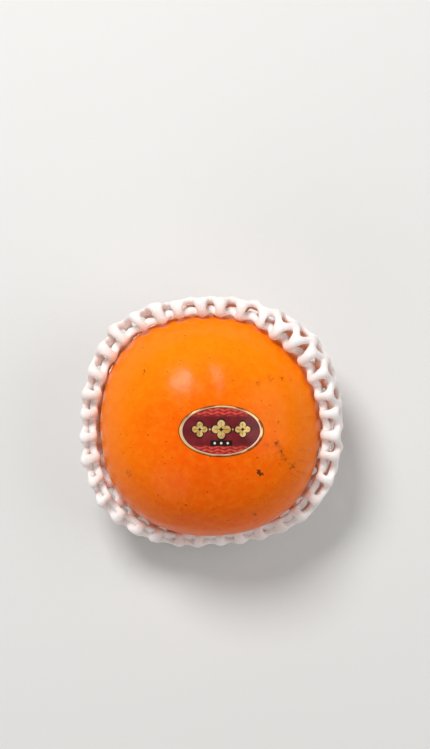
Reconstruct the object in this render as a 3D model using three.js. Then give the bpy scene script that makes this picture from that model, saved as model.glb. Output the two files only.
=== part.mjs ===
// A large flat persimmon, as it is packed for sale: the fruit lies calyx down with its blossom end up,
// an oval sticker on the blossom end, and a folded net of foam strands round its lower half.
// Millimetres, +Z up. The origin is on the surface that it rests on, under the middle of the whole.
import * as THREE from "three";
import { mergeVertices } from "three/addons/utils/BufferGeometryUtils.js";

// Fruit
const FRUIT_RADIUS = 46.5; // mean radius at the widest level
const FRUIT_LOBING = 0.02; // four broad corners on the diagonals, as a share of the radius
const FULLER = { share: 0.018, towards: 90, spread: 38 }; // one side is a little fuller, by this share
const FRUIT_BASE = 2.6; // height of the fruit's lowest ring, which the net carries
// Four shallow grooves between the corners, and the shares of the radius where they deepen and fade.
const GROOVE = { depth: 0.7, sharpness: 4, deepens: [0.3, 0.5], fades: [0.6, 0.95] };
const FRUIT_SEGMENTS = 56;
const FRUIT_RINGS = 26;
// Half of the fruit's section, from the blossom end at the top to the bottom of the calyx hollow:
// radius as a share of FRUIT_RADIUS, height in mm above the lowest ring.
const FRUIT_PROFILE = [
  [0, 61.5],
  [0.14, 62.0],
  [0.33, 61.0],
  [0.54, 57.8],
  [0.75, 51.5],
  [0.915, 42.0],
  [0.985, 33.5],
  [1, 27.0],
  [0.97, 17.5],
  [0.875, 8.4],
  [0.73, 2.4],
  [0.58, 0],
  [0.44, 0.7],
  [0.29, 2.9],
  [0.15, 4.9],
  [0, 5.6],
];

// Calyx and stem
const CALYX_TIP = 25.4; // from the middle to the tip of a lobe
const CALYX_NOTCH = 9.5; // from the middle to the notch between two lobes
const CALYX_BREADTH = 0.55; // exponent of a lobe's outline: the less, the squarer the lobe
const CALYX_POINT = { length: 1.8, halfAngle: 0.16 }; // the short point at each lobe's tip
const CALYX_THICKNESS = 0.9;
const CALYX_DISC = { radius: 6.2, rise: 0.9 }; // the thick middle that the stem grew from
const CALYX_CURL = { drop: 0.8, waves: 13 }; // the dried edges stand off the skin in waves
const CALYX_SEGMENTS = 96;
const CALYX_RINGS = 6;
const STEM_RADIUS = 2.6;
const STEM_FOOT = 1.7; // height of the cut end above the surface
const STEM_GAP = 0.3; // between the stem and the calyx disc
const STEM_SEGMENTS = 20;
const SKIN_GAP = 0.4; // between the skin and the calyx

// Sticker
const LABEL_LENGTH = 34.2;
const LABEL_WIDTH = 20.7;
const LABEL_THICKNESS = 0.5;
const LABEL_RIM = { share: 0.9, halfBlend: 0.02, rise: 0.2 }; // the raised edge, from this share outwards
const LABEL_CENTRE = [4.4, -1.4];
const LABEL_GAP = 0.3; // between the skin and the sticker
const LABEL_SEGMENTS = 44;

// Foam net: rows of fused joints, each row half a column round from the next, linked by slanting strands
const NET_COLUMNS = 36;
const NET_ROWS = 8;
const CREST_ROW = 1; // the row that lies over the fold, with the rows before it tucked inside
// Half of a joint: its width in mm at the waist and at the shoulders, which the strands leave from,
// and the places of the shoulders and the tip along it, in rows.
const JOINT = { waist: 1.9, width: 2.5, shoulder: 0.26, tip: 0.4 };
// How far the eight corners of a joint over the fold stand out, compared with the strands.
const CREST_DEPTHS = [1, 1.3, 1.15, 1.75, 1, 1.75, 1.15, 1.3];
const NARROW = { radius: 44, least: 0.25 }; // inside this radius the joints narrow as the columns crowd
const STRAND_HALF_DEPTH = 1.4; // from the middle of a strand to its outside
const FOOT_PRESS = 0.25; // how far the fruit's weight presses the foot of the net into a flat
const NET_CLEARANCE = 0.6; // between the skin and the strands beside it
const FOOT_CLEARANCE = 0.4; // the same under the fruit
const FOOT_RADIUS = 30.2; // of the last row of joints, under the fruit
const FOLD_RADIUS = 3.2; // of the net's middle surface, where its edge is folded over
const FOLD_HEIGHT = 1.25; // of the fold, compared with its radius
const FOLD_HALF_ROWS = 0.42; // rows that the fold takes on each side of its crest
const TUCK = 0.25; // how far apart the tucked-in rows lie, compared with the others
const FOLD_CORNER = 0.4; // how much looser the fold is at the fruit's four corners
const FOLD_RISE = 4; // how far the fold stands above the fruit's widest level, along the skin
const FOLD_TILT = { rise: 2.5, towards: 45 }; // it stands higher on one side
// Where it rides up over the fruit's shoulder.
const HIGH = [
  { rise: 7.5, towards: 42, spread: 34 },
  { rise: 3.5, towards: 100, spread: 24 },
];
const FOLD_WAVES = [
  { rise: 0.7, turns: 7, start: 1 },
  { rise: 0.4, turns: 11, start: 4 },
];
const SAG = { drop: 15.5, tighter: 1.0, towards: 280, spread: 48 }; // where the net has slipped down flat
const SLACK = { clear: 1.4, towards: 220, spread: 20 }; // where the net stands clear of the skin
// Between these rows past the crest the net closes on the skin, and somewhat later where it sags.
const CLOSING = { from: 0.2, to: 1.4, laterInSag: 0.6 };
// Where the net stands out: rows more that it takes to close, and mm that it gains within `gained` rows.
const BULGE = { rows: 4, out: 1.5, gained: 1.2, towards: 10, spread: 60 };
// Where the fold is looser, or tighter.
const LOOSE = [
  { wider: 0.7, towards: 128, spread: 24 },
  { wider: -1.1, towards: 229, spread: 24 },
  { wider: -1.0, towards: 311, spread: 22 },
];
const JITTER = { along: 0.07, across: 0.7, lift: 0.3, size: 0.11 }; // unevenness of the joints

const fruitProfile = new THREE.SplineCurve(
  FRUIT_PROFILE.map(([share, height]) => new THREE.Vector2(share * FRUIT_RADIUS, height + FRUIT_BASE)),
);
fruitProfile.arcLengthDivisions = 800;
fruitProfile.updateArcLengths();
const PROFILE_LENGTH = fruitProfile.getLength();

const { lerp, smoothstep, clamp } = THREE.MathUtils;

// A repeatable number from -1 to 1 for a column, a row and a purpose.
function scatter(column, row, purpose) {
  const wave = Math.sin(column * 12.9898 + row * 78.233 + purpose * 37.719) * 43758.5453;
  return 2 * (wave - Math.floor(wave)) - 1;
}

// The radius of the fruit's plan in a direction, as a share of its mean.
function cornerShare(angle) {
  return 1 - FRUIT_LOBING * Math.cos(4 * angle) + FULLER.share * nearness(angle, FULLER);
}

// Depth of the grooves, at a radius given as a share of FRUIT_RADIUS.
function grooveDepth(share, angle) {
  const along = smoothstep(share, ...GROOVE.deepens) * (1 - smoothstep(share, ...GROOVE.fades));
  const across = Math.pow(0.5 + 0.5 * Math.cos(4 * angle), GROOVE.sharpness);
  return GROOVE.depth * along * across;
}

// The fruit's skin at `length` mm along the section from the blossom end, in the direction `angle`.
function skinPoint(length, angle) {
  const section = fruitProfile.getPointAt(clamp(length / PROFILE_LENGTH, 0, 1));
  const radius = section.x * cornerShare(angle);
  const upward = length < WIDEST ? 1 : -1;
  const height = section.y - upward * grooveDepth(section.x / FRUIT_RADIUS, angle);
  return new THREE.Vector3(radius * Math.cos(angle), radius * Math.sin(angle), height);
}

// The length along the section at which the fruit is widest.
const WIDEST = widestLength();
function widestLength() {
  const steps = 400;
  let best = 0;
  for (let i = 1; i < steps; i++)
    if (fruitProfile.getPointAt(i / steps).x > fruitProfile.getPointAt(best / steps).x) best = i;
  return (best / steps) * PROFILE_LENGTH;
}

// The length along the section at which the skin is `radius` from the axis, on the blossom side, or on
// the calyx side if `below`.
function lengthAtRadius(radius, angle, below) {
  let near = below ? PROFILE_LENGTH : 0;
  let far = WIDEST;
  for (let i = 0; i < 40; i++) {
    const middle = (near + far) / 2;
    const there = skinPoint(middle, angle);
    if (Math.hypot(there.x, there.y) < radius) near = middle;
    else far = middle;
  }
  return (near + far) / 2;
}

// Height of the skin over a point of the plan, on the blossom side, or on the calyx side if `below`.
function skinHeight(x, y, below) {
  const angle = Math.atan2(y, x);
  return skinPoint(lengthAtRadius(Math.hypot(x, y), angle, below), angle).z;
}

function fruitGeometry() {
  const geometry = new THREE.SphereGeometry(1, FRUIT_SEGMENTS, FRUIT_RINGS);
  const position = geometry.getAttribute("position");
  for (let i = 0; i < position.count; i++) {
    const ring = Math.floor(i / (FRUIT_SEGMENTS + 1));
    const segment = i % (FRUIT_SEGMENTS + 1);
    const angle = (2 * Math.PI * (segment % FRUIT_SEGMENTS)) / FRUIT_SEGMENTS;
    const point = skinPoint((ring / FRUIT_RINGS) * PROFILE_LENGTH, angle);
    if (ring === 0 || ring === FRUIT_RINGS) point.setX(0).setY(0);
    position.setXYZ(i, point.x, point.y, point.z);
  }
  return outward(geometry);
}

function pushQuad(triangles, a, b, c, d) {
  triangles.push([a, b, c], [a, c, d]);
}

function indexedGeometry(points, triangles) {
  const geometry = new THREE.BufferGeometry();
  geometry.setAttribute("position", new THREE.Float32BufferAttribute(points.flat(), 3));
  geometry.setIndex(triangles.flat());
  return geometry;
}

// The same faces with shared corners, turned to face out.
function outward(geometry) {
  geometry.deleteAttribute("normal");
  geometry.deleteAttribute("uv");
  const merged = mergeVertices(geometry, 1e-3);
  const position = merged.getAttribute("position");
  const corner = [new THREE.Vector3(), new THREE.Vector3(), new THREE.Vector3()];
  const index = [...merged.index.array];
  let volume = 0;
  for (let i = 0; i < index.length; i += 3) {
    corner.forEach((c, k) => c.fromBufferAttribute(position, index[i + k]));
    volume += corner[0].dot(corner[1].clone().cross(corner[2]));
  }
  if (volume < 0) {
    for (let i = 0; i < index.length; i += 3) [index[i + 1], index[i + 2]] = [index[i + 2], index[i + 1]];
    merged.setIndex(index);
  }
  merged.computeVertexNormals();
  return merged;
}

// A closed plate in polar form round `centre`: `edge(angle)` gives the plan point of its outline, and
// `bottom(x, y, share)` and `top(x, y, share)` its two faces, with share 0 in the middle and 1 at the edge.
function plateGeometry({ centre, edge, bottom, top, segments, shares }) {
  const points = [];
  const triangles = [];
  for (const face of [bottom, top]) {
    points.push([centre[0], centre[1], face(centre[0], centre[1], 0)]);
    for (const share of shares)
      for (let s = 0; s < segments; s++) {
        const [ex, ey] = edge((2 * Math.PI * s) / segments);
        const x = lerp(centre[0], ex, share);
        const y = lerp(centre[1], ey, share);
        points.push([x, y, face(x, y, share)]);
      }
  }
  const faceSize = 1 + shares.length * segments;
  const at = (side, ring, s) => side * faceSize + 1 + ring * segments + (s % segments);
  const rim = shares.length - 1;
  for (let s = 0; s < segments; s++) {
    triangles.push([0, at(0, 0, s + 1), at(0, 0, s)]);
    triangles.push([faceSize, at(1, 0, s), at(1, 0, s + 1)]);
    for (let ring = 0; ring < rim; ring++) {
      pushQuad(triangles, at(0, ring, s), at(0, ring, s + 1), at(0, ring + 1, s + 1), at(0, ring + 1, s));
      pushQuad(triangles, at(1, ring, s + 1), at(1, ring, s), at(1, ring + 1, s), at(1, ring + 1, s + 1));
    }
    pushQuad(triangles, at(0, rim, s), at(0, rim, s + 1), at(1, rim, s + 1), at(1, rim, s));
  }
  return outward(indexedGeometry(points, triangles));
}

// Distance from the middle to the calyx outline: four broad lobes on the diagonals, with short points.
function calyxRadius(angle) {
  const quarter = Math.PI / 2;
  const turn = (((angle % quarter) + quarter) % quarter) - quarter / 2;
  const lobe = (CALYX_TIP - CALYX_POINT.length - CALYX_NOTCH) * Math.pow(Math.cos(2 * turn), CALYX_BREADTH);
  const point = CALYX_POINT.length * Math.exp(-Math.pow(turn / CALYX_POINT.halfAngle, 2));
  return CALYX_NOTCH + lobe + point;
}

function calyxGeometry() {
  const curl = (x, y, share) => {
    const wave = 0.5 + 0.5 * Math.sin(CALYX_CURL.waves * Math.atan2(y, x));
    return CALYX_CURL.drop * wave * Math.pow(share, 3);
  };
  const top = (x, y, share) => skinHeight(x, y, true) - SKIN_GAP - curl(x, y, share);
  const thickness = (x, y) => {
    const disc = 1 - smoothstep(Math.hypot(x, y), CALYX_DISC.radius * 0.6, CALYX_DISC.radius);
    return CALYX_THICKNESS + CALYX_DISC.rise * disc;
  };
  return plateGeometry({
    centre: [0, 0],
    edge: (angle) => [calyxRadius(angle) * Math.cos(angle), calyxRadius(angle) * Math.sin(angle)],
    bottom: (x, y, share) => top(x, y, share) - thickness(x, y),
    top,
    segments: CALYX_SEGMENTS,
    shares: Array.from({ length: CALYX_RINGS }, (_, i) => (i + 1) / CALYX_RINGS),
  });
}

// The cut stub of the fruit stalk: slightly waisted, with a flared root against the calyx disc.
function stemGeometry() {
  const root = skinHeight(0, 0, true) - SKIN_GAP - CALYX_THICKNESS - CALYX_DISC.rise - STEM_GAP;
  const height = root - STEM_FOOT;
  const outline = [
    [0, 0],
    [0.92, 0],
    [1, 0.12],
    [0.9, 0.5],
    [1.05, 0.85],
    [1.2, 1],
    [0, 1],
  ].map(([radius, rise]) => new THREE.Vector2(radius * STEM_RADIUS, rise * height));
  const geometry = new THREE.LatheGeometry(outline, STEM_SEGMENTS);
  geometry.rotateX(Math.PI / 2);
  geometry.translate(0, 0, STEM_FOOT);
  return outward(geometry);
}

function labelGeometry() {
  const [cx, cy] = LABEL_CENTRE;
  const under = (x, y) => skinHeight(x, y, false) + LABEL_GAP;
  const { share: start, halfBlend, rise } = LABEL_RIM;
  const rim = (share) => rise * smoothstep(share, start - halfBlend, start + halfBlend);
  return plateGeometry({
    centre: LABEL_CENTRE,
    edge: (a) => [cx + (LABEL_LENGTH / 2) * Math.cos(a), cy + (LABEL_WIDTH / 2) * Math.sin(a)],
    bottom: under,
    top: (x, y, share) => under(x, y) + LABEL_THICKNESS + rim(share),
    segments: LABEL_SEGMENTS,
    shares: [0.3, 0.6, start - halfBlend, start + halfBlend, 1],
  });
}

// How much of a local change a direction gets: all of it at `towards`, in degrees, fading with `spread`.
function nearness(angle, { towards, spread }) {
  const apart = THREE.MathUtils.euclideanModulo(THREE.MathUtils.radToDeg(angle) - towards + 180, 360) - 180;
  return Math.exp(-Math.pow(apart / spread, 2));
}

// The fold in a direction: its place along the skin, its radius, and its distance from the skin.
function foldAt(angle) {
  const tilt = FOLD_TILT.rise * Math.cos(angle - THREE.MathUtils.degToRad(FOLD_TILT.towards));
  let rise = FOLD_RISE + tilt - SAG.drop * nearness(angle, SAG);
  for (const high of HIGH) rise += high.rise * nearness(angle, high);
  for (const wave of FOLD_WAVES) rise += wave.rise * Math.sin(wave.turns * angle + wave.start);
  let looser = -SAG.tighter * nearness(angle, SAG);
  for (const loose of LOOSE) looser += loose.wider * nearness(angle, loose);
  return {
    length: WIDEST - rise,
    radius: FOLD_RADIUS - FOLD_CORNER * Math.cos(4 * angle) + looser,
    inner: NET_CLEARANCE + SLACK.clear * nearness(angle, SLACK) + STRAND_HALF_DEPTH,
  };
}

const FOOT_LENGTH = lengthAtRadius(FOOT_RADIUS, Math.PI / 8, true);
const ROWS_OUTSIDE = NET_ROWS - 1 - CREST_ROW - FOLD_HALF_ROWS;

// A point of the net. `row` counts rows of joints from the tucked-in edge, with fractions between them,
// and `out` is the distance from the net's middle surface, in half depths of its strands.
function netPoint(angle, row, out) {
  const fold = foldAt(angle);
  const past = row - CREST_ROW;
  const turn = clamp(past / FOLD_HALF_ROWS, -1, 1) * (Math.PI / 2);
  const beyond = Math.max(0, Math.abs(past) - FOLD_HALF_ROWS) / ROWS_OUTSIDE;
  const length = lerp(fold.length, FOOT_LENGTH, past < 0 ? TUCK * beyond : beyond);
  const bulging = nearness(angle, BULGE);
  const later = CLOSING.laterInSag * nearness(angle, SAG);
  const lowered = smoothstep(past - later, CLOSING.from, CLOSING.to + BULGE.rows * bulging);
  const bulge = BULGE.out * bulging * smoothstep(past, 0, BULGE.gained);
  const atFold = fold.inner + fold.radius * (1 + Math.sin(turn)) + bulge;
  const away = lerp(atFold, FOOT_CLEARANCE + STRAND_HALF_DEPTH, lowered);

  const skin = skinPoint(length, angle);
  const step = 0.5;
  const towardsTop = skinPoint(length - step, angle).sub(skinPoint(length + step, angle)).normalize();
  const round = new THREE.Vector3(-Math.sin(angle), Math.cos(angle), 0);
  const fromSkin = round.cross(towardsTop).normalize();
  const outwards = out * STRAND_HALF_DEPTH;
  return skin
    .addScaledVector(fromSkin, away + outwards * Math.sin(turn))
    .addScaledVector(towardsTop, (FOLD_HEIGHT * fold.radius + outwards) * Math.cos(turn));
}

// The eight corners of a joint's outline: mm across, and rows along it, from its middle.
const JOINT_OUTLINE = [
  [0, -JOINT.tip],
  [JOINT.width, -JOINT.shoulder],
  [JOINT.waist, 0],
  [JOINT.width, JOINT.shoulder],
  [0, JOINT.tip],
  [-JOINT.width, JOINT.shoulder],
  [-JOINT.waist, 0],
  [-JOINT.width, -JOINT.shoulder],
];
const [TOP, TOP_RIGHT, RIGHT, LOW_RIGHT, LOW, LOW_LEFT, LEFT, TOP_LEFT] = JOINT_OUTLINE.keys();

// The corners of a joint, on the net's outer face and then on its inner face.
function jointPoints(column, row) {
  const straight = ((column + (row % 2) / 2) * 2 * Math.PI) / NET_COLUMNS;
  const middle = netPoint(straight, row, 0);
  const reach = Math.hypot(middle.x, middle.y);
  const size = 1 + JITTER.size * scatter(column, row, 4);
  const narrow = size * Math.min(1, lerp(NARROW.least, 1, reach / NARROW.radius));
  const angle = straight + (JITTER.across * scatter(column, row, 1)) / reach;
  const along = row + JITTER.along * scatter(column, row, 2);
  const lift = row < NET_ROWS - 2 ? JITTER.lift * scatter(column, row, 3) : 0;
  return [1, -1].flatMap((side) =>
    JOINT_OUTLINE.map(([x, y], corner) => {
      const depth = side > 0 && row === CREST_ROW ? CREST_DEPTHS[corner] : side;
      const point = netPoint(angle + (x * narrow) / reach, along + y * size, depth + lift);
      return [point.x, point.y, Math.max(FOOT_PRESS, point.z) - FOOT_PRESS];
    }),
  );
}

function netGeometry() {
  const points = [];
  const triangles = [];
  const outline = JOINT_OUTLINE.length;
  const at = ([column, row, corner], inside) => {
    const joint = row * NET_COLUMNS + ((column + NET_COLUMNS) % NET_COLUMNS);
    return joint * 2 * outline + (inside ? outline : 0) + corner;
  };
  // A strip through the net's depth along an edge, and a patch on both its faces.
  const wall = (from, to) => pushQuad(triangles, at(to), at(from), at(from, true), at(to, true));
  const patch = (...corners) => {
    for (let i = 2; i < corners.length; i++) {
      const [a, b, c] = [corners[0], corners[i - 1], corners[i]];
      triangles.push([at(a), at(b), at(c)], [at(c, true), at(b, true), at(a, true)]);
    }
  };

  for (let row = 0; row < NET_ROWS; row++)
    for (let column = 0; column < NET_COLUMNS; column++) {
      points.push(...jointPoints(column, row));
      const own = (corner) => [column, row, corner];
      patch(own(TOP), own(TOP_RIGHT), own(TOP_LEFT));
      patch(own(TOP_LEFT), own(TOP_RIGHT), own(RIGHT), own(LEFT));
      patch(own(LEFT), own(RIGHT), own(LOW_RIGHT), own(LOW_LEFT));
      patch(own(LOW_LEFT), own(LOW_RIGHT), own(LOW));
      wall(own(TOP_RIGHT), own(RIGHT));
      wall(own(RIGHT), own(LOW_RIGHT));
      wall(own(LOW_LEFT), own(LEFT));
      wall(own(LEFT), own(TOP_LEFT));
      if (row === 0) {
        wall(own(TOP), own(TOP_RIGHT));
        wall(own(TOP_LEFT), own(TOP));
      }
      if (row === NET_ROWS - 1) {
        wall(own(LOW_RIGHT), own(LOW));
        wall(own(LOW), own(LOW_LEFT));
        continue;
      }
      // The two strands down to the next row.
      const right = (corner) => [column + (row % 2), row + 1, corner];
      const left = (corner) => [column + (row % 2) - 1, row + 1, corner];
      patch(own(LOW), own(LOW_RIGHT), right(TOP), right(TOP_LEFT));
      wall(own(LOW_RIGHT), right(TOP));
      wall(right(TOP_LEFT), own(LOW));
      patch(own(LOW_LEFT), own(LOW), left(TOP_RIGHT), left(TOP));
      wall(own(LOW), left(TOP_RIGHT));
      wall(left(TOP), own(LOW_LEFT));
    }
  return outward(indexedGeometry(points, triangles));
}

function pieceOf(name, geometry, colour, roughness) {
  const material = new THREE.MeshStandardMaterial({ color: colour, roughness, metalness: 0 });
  const mesh = new THREE.Mesh(geometry, material);
  mesh.name = name;
  return mesh;
}

const persimmon = new THREE.Group();
persimmon.add(
  pieceOf("fruit", fruitGeometry(), 0xf07a08, 0.38),
  pieceOf("calyx", calyxGeometry(), 0x7d7a4a, 0.85),
  pieceOf("stem", stemGeometry(), 0x5d4630, 0.9),
  pieceOf("label", labelGeometry(), 0x6a1a1c, 0.35),
  pieceOf("foam_net", netGeometry(), 0xf3ece8, 0.8),
);
const middle = new THREE.Box3().setFromObject(persimmon).getCenter(new THREE.Vector3());
persimmon.position.set(-middle.x, -middle.y, 0);

export default persimmon;
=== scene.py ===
# The looks of a persimmon as it is packed for sale: its skin, calyx, stalk, sticker and foam net, on a pale
# floor in soft light. Shapes are worked out in millimetres round the fruit's own axis, and made in metres.
import math

import bmesh
import bpy
import numpy as np
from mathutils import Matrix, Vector, kdtree, noise


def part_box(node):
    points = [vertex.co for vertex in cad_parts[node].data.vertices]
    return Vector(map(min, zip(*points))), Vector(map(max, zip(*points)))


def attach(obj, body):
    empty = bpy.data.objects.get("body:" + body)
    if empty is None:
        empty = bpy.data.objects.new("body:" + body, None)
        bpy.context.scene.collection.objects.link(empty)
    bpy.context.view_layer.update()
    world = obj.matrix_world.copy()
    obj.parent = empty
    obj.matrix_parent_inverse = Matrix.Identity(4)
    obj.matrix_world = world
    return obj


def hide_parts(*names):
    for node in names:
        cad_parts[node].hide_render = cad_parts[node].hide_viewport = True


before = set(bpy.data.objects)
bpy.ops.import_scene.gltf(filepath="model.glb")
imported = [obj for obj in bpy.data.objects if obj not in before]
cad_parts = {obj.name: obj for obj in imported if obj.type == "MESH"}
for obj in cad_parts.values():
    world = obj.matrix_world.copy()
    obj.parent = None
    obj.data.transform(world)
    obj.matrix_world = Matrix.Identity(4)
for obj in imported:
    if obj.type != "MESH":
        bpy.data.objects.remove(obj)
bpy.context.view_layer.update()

MM = 0.001
MERGE_DISTANCE = 1e-6
stem_low, stem_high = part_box("stem")
AXIS = np.array([(stem_low.x + stem_high.x) / 2, (stem_low.y + stem_high.y) / 2, 0.0])

# Below, lengths are in mm, directions and their spreads in degrees, and the starts of waves in radians.

# The fruit: the same section, corners and grooves as its solid. One side is a little fuller.
FRUIT_RADIUS = 46.5
CORNERS = 4
FRUIT_LOBING = 0.02
FULLER_SHARE = 0.018
FULLER_TOWARDS = 90
FULLER_SPREAD = 38
FRUIT_BASE = 2.6
GROOVE_DEPTH = 0.7
GROOVE_SHARPNESS = 4
# Between which shares of the radius a groove deepens, and fades again.
GROOVE_DEEPENS = (0.3, 0.5)
GROOVE_FADES = (0.6, 0.95)
FRUIT_SEGMENTS = 320
FRUIT_RINGS = 150
SECTION_STEPS = 120
# Down the section from the blossom end: share of the radius, and height.
FRUIT_PROFILE = [
    [0, 61.5],
    [0.14, 62.0],
    [0.33, 61.0],
    [0.54, 57.8],
    [0.75, 51.5],
    [0.915, 42.0],
    [0.985, 33.5],
    [1, 27.0],
    [0.97, 17.5],
    [0.875, 8.4],
    [0.73, 2.4],
    [0.58, 0],
    [0.44, 0.7],
    [0.29, 2.9],
    [0.15, 4.9],
    [0, 5.6],
]
# Broad unevenness of the skin: height in mm, waves round the fruit, half waves down it, and where they start.
SKIN_LUMPS = [
    (0.16, 2, 3, 0.7, 0.4),
    (0.12, 3, 5, 2.1, 1.3),
    (0.10, 5, 4, 4.0, 2.2),
    (0.07, 8, 7, 1.1, 0.9),
    (0.05, 13, 11, 3.3, 2.6),
]
# The unevenness sets in between two lengths from the blossom end, and stops between two from the calyx end.
LUMPS_START = (0, 14)
LUMPS_STOP = (24, 10)
# How often the search for a place on the section halves its range.
HALVINGS = 40

# The calyx: four ragged lobes with a wavy, crinkled edge, and a raised disc round the stalk.
CALYX_LOBES = 4
CALYX_TIP = 25.4
CALYX_NOTCH = 9.5
# The short point at each lobe's tip: its length, and its half angle in radians.
CALYX_POINT = 1.8
CALYX_POINT_ANGLE = 0.16
# An exponent: the less, the squarer the lobes.
CALYX_BREADTH = 0.55
# Raggedness of the outline: how far, waves round the calyx, and where they start.
CALYX_RAGGED = ((0.18, 29, 1.0), (0.12, 61, 2.0))
CALYX_CLEARANCE = 0.35
CALYX_WAVES = 13
CALYX_WAVE_DEPTH = 0.75
CALYX_CRINKLES = 41
CALYX_CRINKLE_DEPTH = 0.18
CALYX_CRINKLE_LEAN = 5
CALYX_VEINS = 22
CALYX_VEIN_RISE = 0.12
CALYX_VEIN_SHARPNESS = 6
CALYX_VEINS_START = (0.2, 0.5)
CALYX_THICKNESS = 0.8
CALYX_EDGE_THINNER = 0.25
CALYX_DISC_RADIUS = 6.2
# The share of the disc's radius within which it is flat.
CALYX_DISC_FLAT = 0.6
CALYX_DISC_RISE = 0.9
CALYX_SEGMENTS = 432
CALYX_RINGS = 26

# The stalk's stub: share of its radius, and share of its height from the cut up.
STEM_RADIUS = 2.6
STEM_FOOT = 1.7
STEM_CUT = [[0.45, 0.01], [0.82, 0]]
STEM_PROFILE = [[0.9, 0], [1, 0.12], [0.9, 0.5], [1.05, 0.85], [1.2, 1]]
STEM_ROOT = [[0.5, 1]]
STEM_PROFILE_STEPS = 6
STEM_SEGMENTS = 72
STEM_CUT_DIP = 0.05
STEM_ROUGHNESS = 0.06
STEM_ROUGH_FROM = 0.6
STEM_LUMPS_ROUND = 2.4
STEM_LUMPS_ALONG = 0.8

# The sticker, slightly clear of the skin.
LABEL_LENGTH = 34.2
LABEL_WIDTH = 20.7
LABEL_CENTRE = (4.4, -1.4)
LABEL_CLEARANCE = 0.06
LABEL_THICKNESS = 0.32
# Towards its edge, by share of the way out, the sticker has a slightly raised rim, rounded at the very end.
LABEL_RIM_RISE = 0.1
LABEL_RIM_STARTS = (0.9, 0.92)
LABEL_RIM_STOPS = (0.965, 1.0)
LABEL_ROUNDING = 0.12
LABEL_ROUNDED = (0.975, 1.0)
LABEL_FLAT_RINGS = np.linspace(0, 0.88, 17)[1:]
LABEL_RIM_RINGS = [0.9, 0.91, 0.92, 0.945, 0.965, 0.975, 0.985, 0.993, 1]
LABEL_SEGMENTS = 240

# The foam net: the same rows of joints, fold and sag as its solid, with fuller joints and round strands.
NET_COLUMNS = 36
NET_ROWS = 8
CREST_ROW = 1
JOINT_WAIST = 1.8
JOINT_WIDTH = 2.5
JOINT_SHOULDER = 0.26
JOINT_TIP = 0.4
STRAND_FULLNESS = 0.98
JOINT_FULLNESS = 1.15
# The joints on the crest of the fold are deeper and narrower than the others, by corner of JOINT_OUTLINE.
CREST_DEPTHS = (1, 1.3, 1.15, 1.75, 1, 1.75, 1.15, 1.3)
CREST_WIDTHS = (1, 0.82, 0.95, 0.97, 1, 0.97, 0.95, 0.82)
KNOB_SWELL = 0.36
KNOB_REACH = 2.1
# A joint has two knobs, on its shoulders above and below.
KNOBS = (-1, 1)
FOAM_ROUGHNESS = 0.12
FOAM_LUMPS = 0.45
ROUNDING_STEPS = 2
# Nearer to the axis than this the joints are narrower, down to a least share of their width.
NARROW_RADIUS = 44
NARROW_LEAST = 0.25
STRAND_HALF_DEPTH = 1.4
FOOT_PRESS = 0.25
NET_CLEARANCE = 0.6
FOOT_CLEARANCE = 0.4
FOOT_RADIUS = 30.2
FOLD_RADIUS = 3.2
FOLD_HALF_ROWS = 0.42
FOLD_HEIGHT = 1.25
INNER_SETBACK = 1.2
INNER_SETBACK_FROM = 0.2
TUCK = 0.25
FOLD_CORNER = 0.4
FOLD_RISE = 4
FOLD_TILT = 2.5
FOLD_TILT_TOWARDS = 45
# Where the fold is drawn up: how far, towards where, and over what spread.
HIGH = ((7.5, 42, 34), (3.5, 100, 24))
# Waves of the fold: how far, how many round the net, and where they start.
FOLD_WAVES = ((0.7, 7, 1), (0.4, 11, 4))
# On one side the fold sags.
SAG_DROP = 15.5
SAG_TIGHTER = 1.0
SAG_TOWARDS = 280
SAG_SPREAD = 48
# In one direction the net stands further off the skin.
SLACK_CLEAR = 1.4
SLACK_TOWARDS = 220
SLACK_SPREAD = 20
# Below the fold the net closes in on the skin, between these rows past its crest.
CLOSING_FROM = 0.2
CLOSING_TO = 1.4
CLOSING_LATER_IN_SAG = 0.6
# On one side it bulges, and closes in over more rows.
BULGE_ROWS = 4
BULGE_OUT = 1.5
BULGE_FULL_ROWS = 1.2
BULGE_TOWARDS = 10
BULGE_SPREAD = 60
# Where the fold is wider or tighter: by how much, towards where, and over what spread.
LOOSE = ((0.7, 128, 24), (-1.1, 229, 24), (-1.0, 311, 22))
# Unevenness of the joints: rows along, mm across, half depths outwards, share of size, and mm of lean.
JITTER_ALONG = 0.07
JITTER_ACROSS = 0.7
JITTER_LIFT = 0.3
JITTER_SIZE = 0.11
JITTER_LEAN = 0.9
# Each use of the joints' scatter has a number of its own.
FOR_ACROSS, FOR_ALONG, FOR_LIFT, FOR_SIZE, FOR_LEAN = range(1, 6)


def smoothstep(value, low, high):
    share = np.clip((np.asarray(value, float) - low) / (high - low), 0, 1)
    return share * share * (3 - 2 * share)


def lerp(a, b, share):
    return a + (b - a) * share


def nearness(angle, towards, spread):
    """How much of a local change a direction gets: all of it at `towards`, in degrees."""
    apart = np.mod(np.degrees(angle) - towards + 180, 360) - 180
    return np.exp(-((apart / spread) ** 2))


def catmull_rom(points, steps):
    """Points along the spline through `points`, `steps` to a stretch."""
    points = np.array(points, float)
    ends = len(points) - 1
    found = []
    for i in range(ends):
        p0, p1 = points[max(i - 1, 0)], points[i]
        p2, p3 = points[i + 1], points[min(i + 2, ends)]
        v1, v2 = (p2 - p0) / 2, (p3 - p1) / 2
        t = np.linspace(0, 1, steps, endpoint=False)[:, None]
        bend = (2 * p1 - 2 * p2 + v1 + v2) * t**3
        found.append(bend + (3 * p2 - 3 * p1 - 2 * v1 - v2) * t**2 + v1 * t + p1)
    return np.vstack(found + [points[-1:]])


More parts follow.
